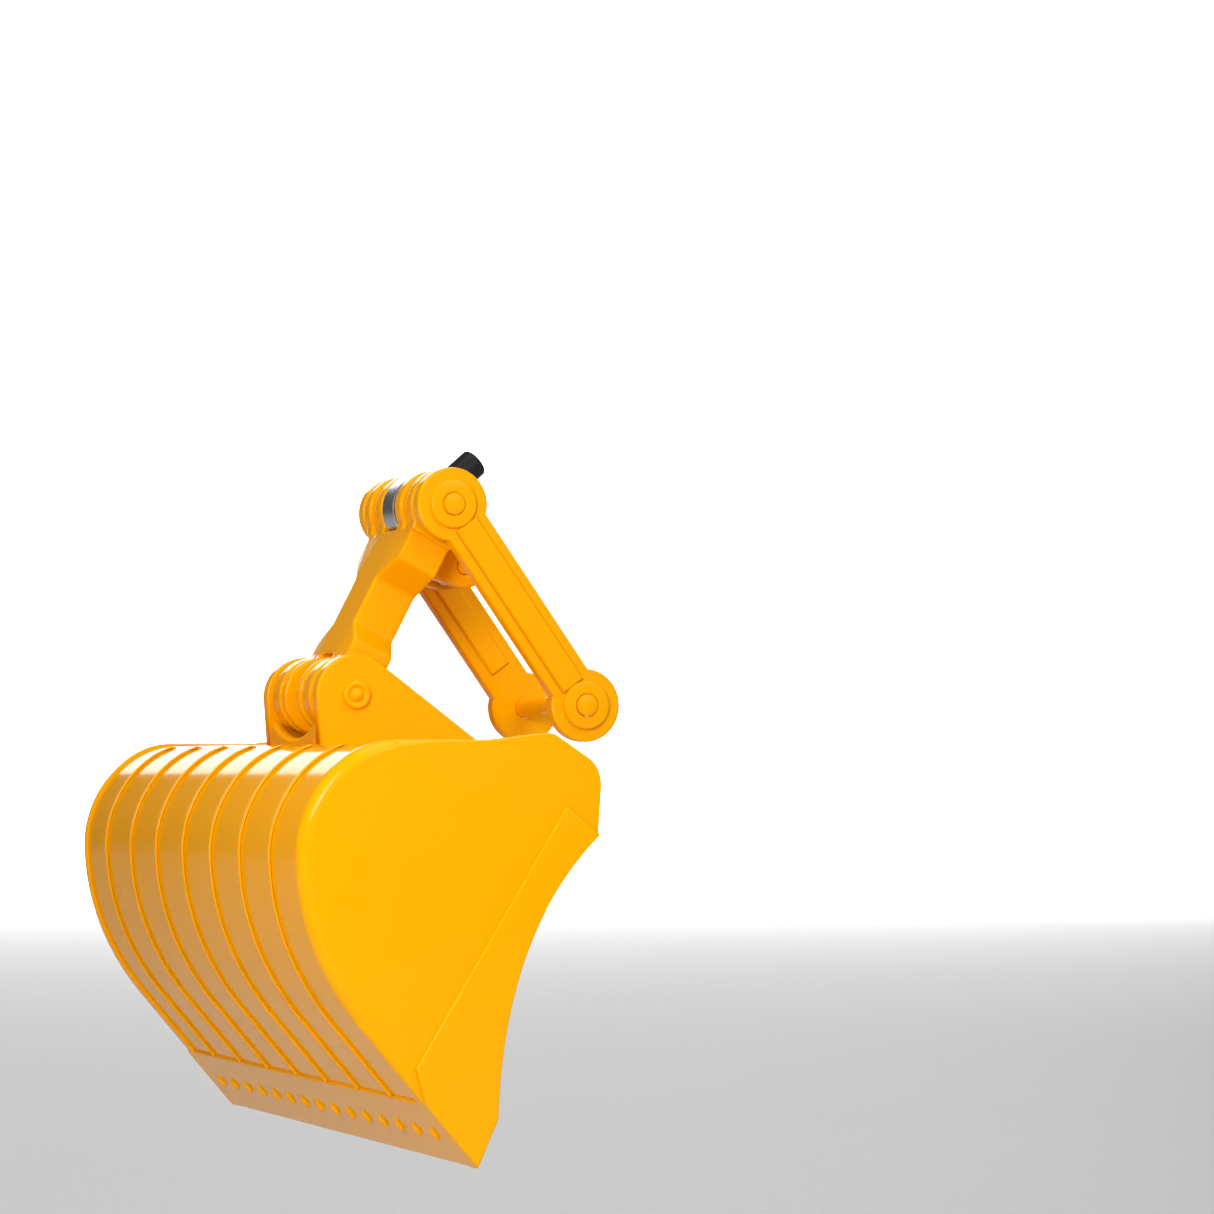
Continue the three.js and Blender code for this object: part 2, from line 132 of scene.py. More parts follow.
class Paint:
    """Builds the nodes of a material, or of the world, that lead to its last shader."""

    def __init__(self, owner, shader="Principled BSDF"):
        owner.use_nodes = True
        self.owner = owner
        self.tree = owner.node_tree
        self.shader = self.tree.nodes[shader]

    def feed(self, socket, value):
        if isinstance(value, Value):
            self.tree.links.new(value.socket, socket)
        else:
            socket.default_value = value

    def node(self, kind, settings=None, inputs=None, output=0):
        made = self.tree.nodes.new(kind)
        for name, setting in (settings or {}).items():
            setattr(made, name, setting)
        for name, value in (inputs or {}).items():
            self.feed(made.inputs[name], value)
        return Value(self, made.outputs[output])

    def noise(self, scale, detail=2.0):
        place = self.node("ShaderNodeTexCoord", output="Object")
        inputs = {"Vector": place, "Scale": scale, "Detail": detail}
        return self.node("ShaderNodeTexNoise", {}, inputs, "Fac")

    def between(self, value, low, high):
        inputs = {"Value": value, "To Min": low, "To Max": high}
        return self.node("ShaderNodeMapRange", {}, inputs)

    def mix(self, factor, first, second):
        inputs = {"Factor": factor, 6: first, 7: second}
        return self.node("ShaderNodeMix", {"data_type": "RGBA"}, inputs, 2)

    def bump(self, height, strength, distance):
        inputs = {"Height": height, "Strength": strength, "Distance": distance}
        return self.node("ShaderNodeBump", {}, inputs)

    def finish(self, **inputs):
        for name, value in inputs.items():
            self.feed(self.shader.inputs[name.replace("_", " ")], value)
        return self.owner


print("socket wrapper ready")

# %% [markdown]
# ## The plastics
#
# The yellow is dyed through and comes glossy from a polished mould. It is never perfectly even:
# the dye varies slightly along the flow, and the skin has a shallow ripple that bends the
# reflections. The black is the same plastic from a duller mould. A low index of refraction keeps
# the gloss from veiling the strong colour.

# %% Plastics
FLOW_MM = 34
GRAIN_MM = 0.35
GRAIN_IN_SKIN = 0.012                  # the grain's share of the skin's height
GRAIN_IN_GLOSS = 0.4                   # and of the gloss; the rest varies with the flow
RIPPLE = 0.12
RIPPLE_DEEP = 0.12 * MM
SKIN_IOR = 1.22


def moulded(name, light, deep, gloss, ripple_mm):
    paint = Paint(bpy.data.materials.new(name))
    flow = paint.noise(1 / (FLOW_MM * MM), 3.0)
    grain = paint.noise(1 / (GRAIN_MM * MM), 2.0)
    swell = paint.noise(1 / (ripple_mm * MM), 1.0)
    skin = paint.bump(swell + grain * GRAIN_IN_SKIN, RIPPLE, RIPPLE_DEEP)
    uneven = grain * GRAIN_IN_GLOSS + flow * (1 - GRAIN_IN_GLOSS)
    return paint.finish(
        Base_Color=paint.mix(flow, light, deep), Roughness=paint.between(uneven, *gloss),
        Normal=skin, IOR=SKIN_IOR,
    )


YELLOW_LIGHT = (0.945, 0.400, 0.0, 1)
YELLOW_DEEP = (0.925, 0.374, 0.0, 1)
BLACK_LIGHT = (0.020, 0.020, 0.021, 1)
BLACK_DEEP = (0.012, 0.012, 0.013, 1)

yellow = moulded("yellow_plastic", YELLOW_LIGHT, YELLOW_DEEP, (0.06, 0.13), 9)
black = moulded("black_plastic", BLACK_LIGHT, BLACK_DEEP, (0.26, 0.42), 5)

# %% [markdown]
# ## The bright rims
#
# The rims round the two eyes are plated. Plating has no colour of its own, so a faint streak in
# its brightness and roughness is all that tells it from a mirror.

# %% Bright metal
STREAK_MM = 1.6
FINE_MM = 0.12
METAL_DARK = (0.62, 0.62, 0.63, 1)
METAL_LIGHT = (0.74, 0.74, 0.74, 1)

plating = Paint(bpy.data.materials.new("bright_metal"))
streak = plating.noise(1 / (STREAK_MM * MM), 3.0)
fine = plating.noise(1 / (FINE_MM * MM), 2.0)
rim_metal = plating.finish(
    Base_Color=plating.mix(streak, METAL_DARK, METAL_LIGHT), Metallic=1.0,
    Roughness=plating.between(streak, 0.16, 0.30), Normal=plating.bump(fine, 0.08, 0.05 * MM),
)

FINISHES = {"yellow_plastic": yellow, "black_plastic": black, "bright_metal": rim_metal}
print("finishes", sorted(FINISHES))

# %% [markdown]
# ## Handing a piece over to the frame
#
# Each finished piece stands for one node of the frame: it rides on the same body, hides the
# plain solid and takes the finish that the record gives that node.

# %% Hand over
node_body = {n: b for b, names in frame["record"]["behaviour"]["bodies"].items() for n in names}
node_slot = {s["node"]: s["material_slot"] for s in frame["record"]["subparts"]}


def hand_over(piece, node):
    slot = node_slot[node]
    piece.name = "moulded_" + node
    piece.data.name = piece.name
    piece.data.materials.clear()
    piece.data.materials.append(FINISHES[slot])
    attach(piece, node_body[node])
    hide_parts(node)
    print(piece.name, len(piece.data.polygons), "faces")
    return piece


# %% [markdown]
# ## Drawing by extruding one point
#
# Every plate of the toy is an outline with a thickness. The outline starts as a plane merged to
# a single point, which is extruded along the shape one step at a time, as it is done by hand
# with the E key. Closing it makes one face, and extruding that face makes the plate.

# %% Outline and thickness
def pick(piece, *others):
    """Selects these objects and nothing else, with the first one active."""
    bpy.ops.object.select_all(action="DESELECT")
    for one in (piece, *others):
        one.select_set(True)
    bpy.context.view_layer.objects.active = piece


def open_up(piece):
    """Opens edit mode with the whole mesh selected."""
    pick(piece)
    bpy.ops.object.mode_set(mode="EDIT")
    bpy.ops.mesh.select_all(action="SELECT")


def chain(points):
    """Leaves edit mode open on a new object whose edges run through the points, in mm."""
    bpy.ops.object.select_all(action="DESELECT")
    bpy.ops.mesh.primitive_plane_add(size=MM)
    bpy.ops.object.mode_set(mode="EDIT")
    bpy.ops.mesh.merge(type="CENTER")
    bpy.ops.transform.translate(value=Vector(points[0]) * MM)
    for a, b in zip(points, points[1:]):
        step = (Vector(b) - Vector(a)) * MM
        bpy.ops.mesh.extrude_vertices_move(TRANSFORM_OT_translate={"value": step})
    bpy.ops.mesh.select_all(action="SELECT")
    return bpy.context.object


def close_up():
    """Merges doubles, turns the faces outwards and leaves edit mode."""
    bpy.ops.mesh.select_all(action="SELECT")
    bpy.ops.mesh.remove_doubles(threshold=0.0005 * MM)
    bpy.ops.mesh.normals_make_consistent(inside=False)
    bpy.ops.object.mode_set(mode="OBJECT")


def block(points, push):
    """A solid: the closed outline through the points, pushed out by push mm."""
    piece = chain(points)
    bpy.ops.mesh.edge_face_add()
    step = tuple(v * MM for v in push)
    bpy.ops.mesh.extrude_region_move(TRANSFORM_OT_translate={"value": step})
    close_up()
    return piece


def plate(outline, y0, y1):
    """A flat plate: an [x, z] outline in mm, from y0 to y1."""
    return block([(x, y0, z) for x, z in outline], (0, y1 - y0, 0))


print("outline tools ready")

# %% [markdown]
# ## Turned pieces
#
# Pins, bushes, collars and eyes are round about an axis along Y. Half a section is drawn and
# spun through a full circle, which keeps every ring and chamfer true.

# %% Turning
FULL_TURN = 2 * math.pi


def turned(centre, profile, steps=72):
    """A round piece about the Y axis through a pin centre; profile points are (radius, y)."""
    x, z = centre
    piece = chain([(x + r, y, z) for r, y in profile])
    spin_centre = (x * MM, 0, z * MM)
    bpy.ops.mesh.spin(steps=steps, angle=FULL_TURN, center=spin_centre, axis=(0, 1, 0))
    close_up()
    return piece


print("turning ready, a full turn is", round(FULL_TURN, 3), "radians")

# %% [markdown]
# ## Modifiers, joins and cuts
#
# A modifier is added with its settings and applied at once, so each piece ends as a plain mesh.
# Boolean does the joining and drilling. It leaves edges across flat faces, which a limited
# dissolve clears where they would spoil the rounding.

# %% Modifiers, joins and cuts
def apply(piece, kind, **settings):
    """Adds a modifier with these settings and applies it."""
    pick(piece)
    modifier = piece.modifiers.new(kind.lower(), kind)
    for name, value in settings.items():
        setattr(modifier, name, value)
    bpy.ops.object.modifier_apply(modifier=modifier.name)
    return piece


def cut(piece, tool, operation="DIFFERENCE"):
    """Cuts the tool out of the piece, or joins it on, and throws the tool away."""
    apply(piece, "BOOLEAN", object=tool, operation=operation, solver="EXACT")
    bpy.data.objects.remove(tool)
    return piece


def clear_flats(piece):
    """Clears the edges that a join leaves across flat faces."""
    open_up(piece)
    bpy.ops.mesh.remove_doubles(threshold=0.002 * MM)
    bpy.ops.mesh.dissolve_limited(angle_limit=math.radians(0.4))
    bpy.ops.object.mode_set(mode="OBJECT")
    return piece


print("modifiers ready")

# %% [markdown]
# ## Rounded edges
#
# No moulded edge is sharp. Simple solids are bevelled wherever two faces meet steeply. On a
# plate with many arcs only the rims of its flat faces are bevelled, by weight, because the arcs'
# short edges would tangle at the corners.

# %% Rounded edges
CORNER = math.radians(15)              # faces that turn more than this meet in an edge
LEVEL = 0.001                          # mm; an edge this level lies in a flat face


def smooth(piece, angle=32):
    pick(piece)
    bpy.ops.object.shade_smooth_by_angle(angle=math.radians(angle))
    return apply(piece, "WEIGHTED_NORMAL", keep_sharp=True, weight=100)


def soften(piece, radius, segments=3, angle=28):
    """Rounds every edge sharper than angle, and shades it so that the flats stay flat."""
    apply(
        piece, "BEVEL", width=radius * MM, segments=segments, limit_method="ANGLE",
        angle_limit=math.radians(angle), use_clamp_overlap=False, harden_normals=True,
    )
    return smooth(piece)


def level_edge(a, b):
    return float(abs(a.y - b.y) < LEVEL)


def weigh_edges(piece, weight_of):
    """Gives each edge that turns a corner the bevel weight that weight_of(a, b) says, in mm."""
    normals = {}
    for face in piece.data.polygons:
        for key in face.edge_keys:
            normals.setdefault(key, []).append(face.normal)
    weights = piece.data.attributes.new("bevel_weight_edge", "FLOAT", "EDGE")
    for edge in piece.data.edges:
        a, b = (piece.data.vertices[i].co / MM for i in edge.vertices)
        first, second = normals[tuple(sorted(edge.vertices))]
        turns = first.angle(second, 0) > CORNER
        weights.data[edge.index].value = weight_of(a, b) if turns else 0.0


def soften_rims(piece, radius, segments=4, weight_of=level_edge):
    """Rounds the edges of a plate's two flat faces and leaves its corners, so arcs stay clean."""
    weigh_edges(piece, weight_of)
    apply(
        piece, "BEVEL", width=radius * MM, segments=segments, limit_method="WEIGHT",
        use_clamp_overlap=False, harden_normals=True,
    )
    return smooth(piece)


print("rounding ready")

# %% [markdown]
# ## Copies and mirror images
#
# What repeats is modelled once. A copy gets its own mesh, and its move is applied, so every
# object stays at the origin. A negative scale turns a mesh inside out, so a mirror image has its
# normals recalculated.

# %% Copies
def copied(piece, shift=(0, 0, 0)):
    """A copy with its own mesh, moved by shift mm."""
    pick(piece)
    bpy.ops.object.duplicate(linked=False)
    twin = bpy.context.object
    twin.location = Vector(shift) * MM
    bpy.ops.object.transform_apply(location=True, rotation=True, scale=True)
    return twin


def mirrored(piece):
    """A copy on the other side of the arm's plane, turned the right way out again."""
    twin = copied(piece)
    twin.scale = (1, -1, 1)
    bpy.ops.object.transform_apply(location=False, rotation=False, scale=True)
    open_up(twin)
    bpy.ops.mesh.normals_make_consistent(inside=False)
    bpy.ops.object.mode_set(mode="OBJECT")
    return smooth(twin)


def swung(piece, centre, turn):
    """Moves a piece that was made at the origin to its pin, turned by some radians about Y."""
    pick(piece)
    at = Matrix.Translation(Vector((centre[0], 0, centre[1])) * MM)
    piece.matrix_world = at @ Matrix.Rotation(turn, 4, "Y")
    bpy.ops.object.transform_apply(location=True, rotation=True, scale=True)
    return piece


print("copies ready")

# %% [markdown]
# ## Curves for outlines
#
# A profile keeps only the points that decide its shape. Round stretches are arcs or Bezier
# curves worked out here, finely enough that a gloss surface shows no facets.

# %% Curves
def bezier(p0, p1, p2, p3, count):
    points = []
    for i in range(count + 1):
        t = i / count
        s = 1 - t
        weights = (s ** 3, 3 * s * s * t, 3 * s * t * t, t ** 3)
        x, z = (sum(w * p[k] for w, p in zip(weights, (p0, p1, p2, p3))) for k in (0, 1))
        points.append((x, z))
    return points


def bend(p0, pull, p1, count):
    """A curve from p0 to p1 that leans towards one pull point."""
    first = [a + (b - a) * 2 / 3 for a, b in zip(p0, pull)]
    second = [a + (b - a) * 2 / 3 for a, b in zip(p1, pull)]
    return bezier(p0, first, second, p1, count)


def arc(centre, radius, start, end, count):
    turns = [start + (end - start) * i / count for i in range(count + 1)]
    return [(centre[0] + radius * math.cos(t), centre[1] + radius * math.sin(t)) for t in turns]


def disc(centre, radius, corners=64):
    """A full circle, left open by its last step so that no point comes twice."""
    return arc(centre, radius, 0, FULL_TURN * (corners - 1) / corners, corners - 1)


def along(a, b, share):
    return tuple(p + (q - p) * share for p, q in zip(a, b))


def offset(points, d):
    """The outline moved sideways by d, to the right of its direction of travel."""
    moved = []
    for i, (x, z) in enumerate(points):
        a = points[max(i - 1, 0)]
        b = points[min(i + 1, len(points) - 1)]
        run = math.dist(a, b)
        moved.append((x + (b[1] - a[1]) / run * d, z - (b[0] - a[0]) / run * d))
    return moved


def wrapped(a, ra, b, rb, count=28):
    """The outline round two discs and the tangents that join them."""
    span = math.dist(a, b)
    heading = math.atan2(b[1] - a[1], b[0] - a[0])
    lean = math.acos((ra - rb) / span)
    first = arc(a, ra, heading + lean, heading + FULL_TURN - lean, count)
    second = arc(b, rb, heading - lean, heading + lean, count)
    return first + second


print("a disc has", len(disc((0, 0), 1)), "corners")

# %% [markdown]
# ## The bucket's sizes
#
# All in millimetres from the hinge pin. The profile follows the frame's side wall and the width
# comes from the frame itself. The back is two Bezier curves that meet at its deepest point, and
# the mouth is one curve that is pulled back between its corners.

# %% Bucket sizes
wall_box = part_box("side_wall_left")
cutter_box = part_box("side_cutter_left")
WALL_OUT = -wall_box[0].y / MM
WALL_IN = -wall_box[1].y / MM
CUTTER_OUT = -cutter_box[0].y / MM
RIB_HEIGHT = 0.4
SHELL_THICK = 2.0

LIP_TIP = (-19, -45.1)
BACK_LOW = (-33.5, -28.2)
BACK_MID = (-42.1, -6.2)
BACK_TOP = (-29.5, 8)
TOP_START = (-28.5, 8)
TOP_DIP = (-18.6, 8)
TOP_CREST = (-9.6, 8.9)
MOUTH_BEVEL = (-3.9, 5.8)
MOUTH_TOP = (-2.2, 2.2)
MOUTH_CORNER = (-2.6, -3.9)
MOUTH_PULL = (-15.6, -16)
MOUTH_LOW = (-16.3, -39)
LIP_START = along(LIP_TIP, BACK_LOW, 0.476)
CUTTER_LOW = (-27.1, -32.4)
CUTTER_TOP = (-7.2, -0.3)

# %% Bucket profile
lower_back = bezier(BACK_LOW, (-38.9, -21.9), (BACK_MID[0], -14.3), BACK_MID, 30)
upper_back = bezier(BACK_MID, (BACK_MID[0], 0.6), (-36.4, BACK_TOP[1]), BACK_TOP, 34)
back = [LIP_START] + lower_back + upper_back[1:] + [TOP_START]
mouth = bend(MOUTH_CORNER, MOUTH_PULL, MOUTH_LOW, 36)
print("wall from", WALL_IN, "to", WALL_OUT, "cutter to", CUTTER_OUT)

# %% [markdown]
# ## Wrapper, top plate and mouth beam
#
# The wrapper is the curved sheet behind the load. It could be a bent plane with Solidify, but
# drawing its section and extruding it across the bucket gives it true flat ends against the
# side walls. The two slabs are the frame's own boxes with rounded edges, subdivided so that no
# face is long and thin.

# %% Wrapper, top plate and beam
shell_out = offset(back, RIB_HEIGHT)
shell_in = offset(back, RIB_HEIGHT + SHELL_THICK)
wrapper = plate(shell_out + shell_in[::-1], -WALL_IN, WALL_IN)
hand_over(smooth(wrapper), "wrapper_shell")

for node, fillet in (("top_plate", 0.35), ("mouth_beam", 0.5)):
    low, high = (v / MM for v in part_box(node))
    section = [(low.x, low.z), (high.x, low.z), (high.x, high.z), (low.x, high.z)]
    slab = plate(section, low.y, high.y)
    open_up(slab)
    bpy.ops.mesh.subdivide(number_cuts=2)
    bpy.ops.object.mode_set(mode="OBJECT")
    hand_over(soften(slab, fillet, 3), node)

# %% [markdown]
# ## Side walls
#
# The walls stand as high as the ribs, and their back edge is rounded broadly while the top edge
# is almost crisp. One Bevel modifier does both: each edge carries a weight that says how much
# of the full radius it gets. Selecting a few edges and bevelling them one after another would
# leave a notch wherever two radii meet.

# %% Side walls
BACK_RADIUS = 1.6
FINEST = 0.16                          # the weight of the crisp edges


def wall_outline():
    top = bend(TOP_START, (-24, 8), TOP_DIP, 6)[1:]
    crest = bezier(TOP_DIP, (-15.5, 8), (-12.4, 8.75), TOP_CREST, 12)[1:]
    corner = bezier(MOUTH_BEVEL, (-2.9, 5.1), (-2.2, 4.0), MOUTH_TOP, 10)
    crown = bezier(TOP_CREST, (-8.9, 8.95), (-8.4, 8.8), (-7.7, 8.3), 4)[1:]
    return [LIP_TIP] + back + top + crest + crown + corner + mouth


def fade(value, none_at, full_at):
    return min(1.0, max(0.0, (value - none_at) / (full_at - none_at)))


def rim_weight(a, b):
    """The outer rim is broad behind, fading over the top, down to the lip and in front."""
    if max(abs(a.y + WALL_OUT), abs(b.y + WALL_OUT)) > 0.01:
        return 0.0
    x, z = (a.x + b.x) / 2, (a.z + b.z) / 2
    over_top = fade(x, -24, -33) if z > 0 else 1.0
    down_to_lip = fade(z, -40, -18) if z < -18 else 1.0
    in_front = x > -19.5 and z < 0
    return FINEST if in_front else max(FINEST, over_top * down_to_lip)


wall = soften_rims(plate(wall_outline(), -WALL_OUT, -WALL_IN), BACK_RADIUS, 6, rim_weight)
far_wall = mirrored(wall)
hand_over(wall, "side_wall_left")
hand_over(far_wall, "side_wall_right")

# %% [markdown]
# ## Side cutters
#
# On a working bucket these are bolted-on wear plates along the mouth. On the toy they are a
# raised panel with a fine rounded border, so they are a thin plate of their own outline.

# %% Side cutters
cutter_outline = [LIP_TIP, along(LIP_TIP, LIP_START, 0.98), CUTTER_LOW, CUTTER_TOP] + mouth
cutter_inner = -WALL_OUT + BACK_RADIUS * FINEST      # fills the wall's own rounded rim
cutter = soften_rims(plate(cutter_outline, -CUTTER_OUT, cutter_inner), 0.26, 3)
far_cutter = mirrored(cutter)
hand_over(cutter, "side_cutter_left")
hand_over(far_cutter, "side_cutter_right")

# %% [markdown]
# ## Back ribs
#
# Seven slim ribs run up the round back, like the weld-on wear strips of a real bucket. One is
# drawn with its foot sunk a little into the sheet, rounded over its crown, and copied across.

# %% Back ribs
RIB_COUNT = 7
RIB_PITCH = 12.8
RIB_WIDTH = 0.7
RIB_SUNK = 0.1
RIB_END = 6                            # points before the end of the back curve

crown = back[:-RIB_END]
foot = offset(back, RIB_HEIGHT + RIB_SUNK)[:-RIB_END + 2]
rib = soften_rims(plate(crown + foot[::-1], -RIB_WIDTH / 2, RIB_WIDTH / 2), 0.26)
for i in range(RIB_COUNT):
    y = (i - (RIB_COUNT - 1) / 2) * RIB_PITCH
    hand_over(copied(rib, (0, y, 0)), f"back_rib_{i + 1}")
bpy.data.objects.remove(rib)

# %% [markdown]
# ## Lip plate
#
# The cutting lip is a thicker band that thins to its edge, with fifteen short ridges that stand
# for its wear teeth. A ridge is a small plate that rises steeply near the edge and tapers off
# behind, rounded to a teardrop. It is made once and joined to the band fifteen times.

# %% Lip band
LIP_THICK = 2.8
LIP_EDGE = 0.6                         # thickness at the very edge
LIP_KNEE = (2.5, 1.1)                  # from the edge, and how thick there

run = math.dist(LIP_TIP, LIP_START)
lip_dir = ((LIP_START[0] - LIP_TIP[0]) / run, (LIP_START[1] - LIP_TIP[1]) / run)
lip_in = (lip_dir[1], -lip_dir[0])


def lip_point(start, d, n):
    return (start[0] + lip_dir[0] * d + lip_in[0] * n, start[1] + lip_dir[1] * d + lip_in[1] * n)


section = [
    LIP_TIP, LIP_START, lip_point(LIP_START, 0, LIP_THICK), lip_point(LIP_TIP, *LIP_KNEE),
    lip_point(LIP_TIP, 0, LIP_EDGE),
]
lip = soften(plate(section, -WALL_IN, WALL_IN), 0.22, 3)
print("lip band mm", round(run, 2))

# %% Lip ridges
RIDGE_COUNT = 15
RIDGE_PITCH = 6.5
RIDGE_LENGTH = 3.0
RIDGE_WIDTH = 0.8
RIDGE_RISE = 0.45
RIDGE_FROM = 4.2                       # from the lip's edge
RIDGE_FOOT = 0.3                       # sunk into the band

drop = [
    lip_point(LIP_TIP, RIDGE_FROM, RIDGE_FOOT), lip_point(LIP_TIP, RIDGE_FROM + 0.35, -RIDGE_RISE),
    lip_point(LIP_TIP, RIDGE_FROM + 1.5, -RIDGE_RISE * 0.92),
    lip_point(LIP_TIP, RIDGE_FROM + RIDGE_LENGTH, RIDGE_FOOT),
]
ridge = soften(plate(drop, -RIDGE_WIDTH / 2, RIDGE_WIDTH / 2), 0.24, 4)
places = [(i - (RIDGE_COUNT - 1) / 2) * RIDGE_PITCH for i in range(RIDGE_COUNT)]
ridges = [copied(ridge, (0, y, 0)) for y in places]
bpy.data.objects.remove(ridge)
pick(lip, *ridges)
bpy.ops.object.join()
hand_over(lip, "lip_plate")

# %% [markdown]
# ## Pins and their places
#
# Four pins tie the linkage together, and a fifth holds the tipping links to the stick. Every lug
# and link below is drawn round these centres, so they are named once.

# %% Pin centres
HINGE = (0, 0)
LINK_PIN = (-21.5, 14.2)
TOP_PIN = (-8, 40)
STICK_PIN = (11.3, 13)
LEVER_PIN = (-3.5, 32)
PIN_R = 1.5
HINGE_PIN_R = 2
LEVER_PIN_R = 1.1
RUN_GAP = 0.08                         # round a pin that turns
FIT_GAP = 0.04                         # round a pin that is pressed in


def drill(piece, centre, radius, reach=20):
    """Cuts a round hole along Y, to reach mm on both sides of the arm's plane."""
    return cut(piece, plate(disc(centre, radius), -reach, reach))


print("link pin to top pin mm", round(math.dist(LINK_PIN, TOP_PIN), 2))

# %% [markdown]
# ## Hinge ears
#
# Two plates stand on the bucket's top and carry the hinge pin in front and the link pin behind.
# Each is one outline. Its rims are rounded before the bores are cut, because a bore leaves joining
# edges across the flat face that would tangle the rounding.

# %% Hinge ears
ear_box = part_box("hinge_ear_left")
EAR_OUT = -ear_box[0].y / MM
EAR_IN = -ear_box[1].y / MM
TOP_Z = 7.2                            # the foot stands in the top plate
HEEL_X = -26.5
BEAM_FRONT = -8
TIP_R = 5.5
EAR_BOSS_R = 4.1
BUSH_R = 3


def ear_shape():
    heading = math.atan2(HINGE[1] - LINK_PIN[1], HINGE[0] - LINK_PIN[0])
    lean = math.acos((TIP_R - EAR_BOSS_R) / math.dist(LINK_PIN, HINGE))
    tip = arc(LINK_PIN, TIP_R, heading + lean, math.radians(184), 30)
    sill = [(HEEL_X, TOP_Z), (BEAM_FRONT, TOP_Z), (BEAM_FRONT, -0.5)]
    boss = arc(HINGE, EAR_BOSS_R, math.radians(214), heading + FULL_TURN + lean, 34)
    return tip + sill + boss


ear = soften_rims(plate(ear_shape(), -EAR_OUT, -EAR_IN), 0.38)
drill(ear, LINK_PIN, PIN_R + FIT_GAP)
drill(ear, HINGE, BUSH_R + FIT_GAP)
smooth(ear)
far_ear = mirrored(ear)
hand_over(ear, "hinge_ear_left")
hand_over(far_ear, "hinge_ear_right")

# %% [markdown]
# ## Bushes and link pin heads
#
# A bush lines each hinge bore. The link pin ends in a low domed head with a ring groove. Both
# are turned pieces, drawn for the right side and flipped for the left.

# %% Bushes and pin heads
BUSH_PROUD = 0.8
FLANGE_R = 3.6
BOSS_OUT = EAR_OUT + BUSH_PROUD
bore = HINGE_PIN_R + RUN_GAP
bush_profile = [
    (bore, EAR_IN), (BUSH_R, EAR_IN), (BUSH_R, EAR_OUT), (FLANGE_R, EAR_OUT),
    (FLANGE_R, BOSS_OUT - 0.25), (FLANGE_R - 0.08, BOSS_OUT - 0.08), (FLANGE_R - 0.25, BOSS_OUT),
    (bore + 0.2, BOSS_OUT), (bore, BOSS_OUT - 0.2), (bore, EAR_IN),
]
head_profile = [
    (0, 0), (1.9, 0), (1.9, 0.28), (1.84, 0.42), (1.72, 0.52), (1.55, 0.56), (1.3, 0.54),
    (1.12, 0.44), (1.0, 0.34), (0.9, 0.36), (0.8, 0.5), (0.64, 0.66), (0.44, 0.77), (0.22, 0.83),
    (0, 0.85),
]
for word, side in (("left", -1), ("right", 1)):
    bush = turned(HINGE, [(r, side * y) for r, y in bush_profile])
    hand_over(smooth(bush), f"hinge_bush_{word}")
    head = turned(LINK_PIN, [(r, side * (EAR_OUT + y)) for r, y in head_profile])
    hand_over(smooth(head, 40), f"link_pin_cap_{word}")

# %% [markdown]
# ## The bucket's pins
#
# A pin is a rod with chamfered ends. Half its section is drawn, from the middle of one end round
# the chamfer, and mirrored for the other end.

# %% Pins of the bucket
def rod_profile(radius, end, chamfer=0.3):
    half = [(0, end), (radius - chamfer, end), (radius - chamfer * 0.3, end - chamfer * 0.3),
            (radius, end - chamfer)]
    return half + [(r, -y) for r, y in half[::-1]]


hand_over(smooth(turned(HINGE, rod_profile(HINGE_PIN_R, BOSS_OUT))), "hinge_pin")
hand_over(smooth(turned(LINK_PIN, rod_profile(PIN_R, EAR_OUT, 0.1))), "link_pin")

# %% [markdown]
# ## The web between the ears
#
# A thin sill ties the ears together at the heel. Its top edge sags in a shallow parabola between
# them, and all its edges are rounded broadly, as a mould fills such a corner.

# %% Ear web
WEB_THICK = 1.6
WEB_LOW = 1.3                          # height in the middle
WEB_SWEEP = 2.5                        # how much higher it stands at the ears
WEB_STEPS = 24

across = [EAR_IN * (2 * i / WEB_STEPS - 1) for i in range(WEB_STEPS + 1)]
web_top = [(y, WEB_LOW + WEB_SWEEP * (y / EAR_IN) ** 2) for y in across]
web_foot = [(EAR_IN, 0), (-EAR_IN, 0)]
web = block([(HEEL_X, y, TOP_Z + z) for y, z in web_top + web_foot], (WEB_THICK, 0, 0))
hand_over(soften(web, 0.6, 5), "ear_web")

# %% [markdown]
# ## The bucket link
#
# The link is the most shapely moulding: a beam with a waist, two pairs of lugs at each end and
# a pair of round lugs for the lever. It is built upright at the origin, where its outlines are
# simple numbers, and only then swung to its place between the two pins. Its beam comes first,
# with a back that slopes away from two ridge lines.

# %% Link beam
LINK_LENGTH = math.dist(LINK_PIN, TOP_PIN)
LINK_LEAN = math.atan2(TOP_PIN[0] - LINK_PIN[0], TOP_PIN[1] - LINK_PIN[1])
LINK_BACK = -2.8
LINK_FRONT = 3.5
RIDGE_Y = 2.6
RIDGE_SLOPE = 0.05


def link_beam():
    """Half of the beam's outline, as (y, up), mirrored and pushed from back to front."""
    half = [(7.9, 1.5), (7.9, 7.4), (4.5, 10), (4.5, 16.8), (8.9, 19.8), (8.9, 24.6)]
    outline = half + [(-y, up) for y, up in half[::-1]]
    return block([(LINK_BACK, y, up) for y, up in outline], (LINK_FRONT - LINK_BACK, 0, 0))


def slope_back(beam):
    """Slopes the back away from its two ridge lines, with two cuts through the beam."""
    open_up(beam)
    for side in (-1, 1):
        bpy.ops.mesh.select_all(action="SELECT")
        bpy.ops.mesh.bisect(
            plane_co=(LINK_BACK * MM, side * RIDGE_Y * MM, 0), plane_no=(-1, side * RIDGE_SLOPE, 0),
            use_fill=True, clear_outer=True,
        )
    close_up()
    return beam


link = slope_back(link_beam())
print("link mm", round(LINK_LENGTH, 2), "leaning", round(math.degrees(LINK_LEAN), 1), "degrees")

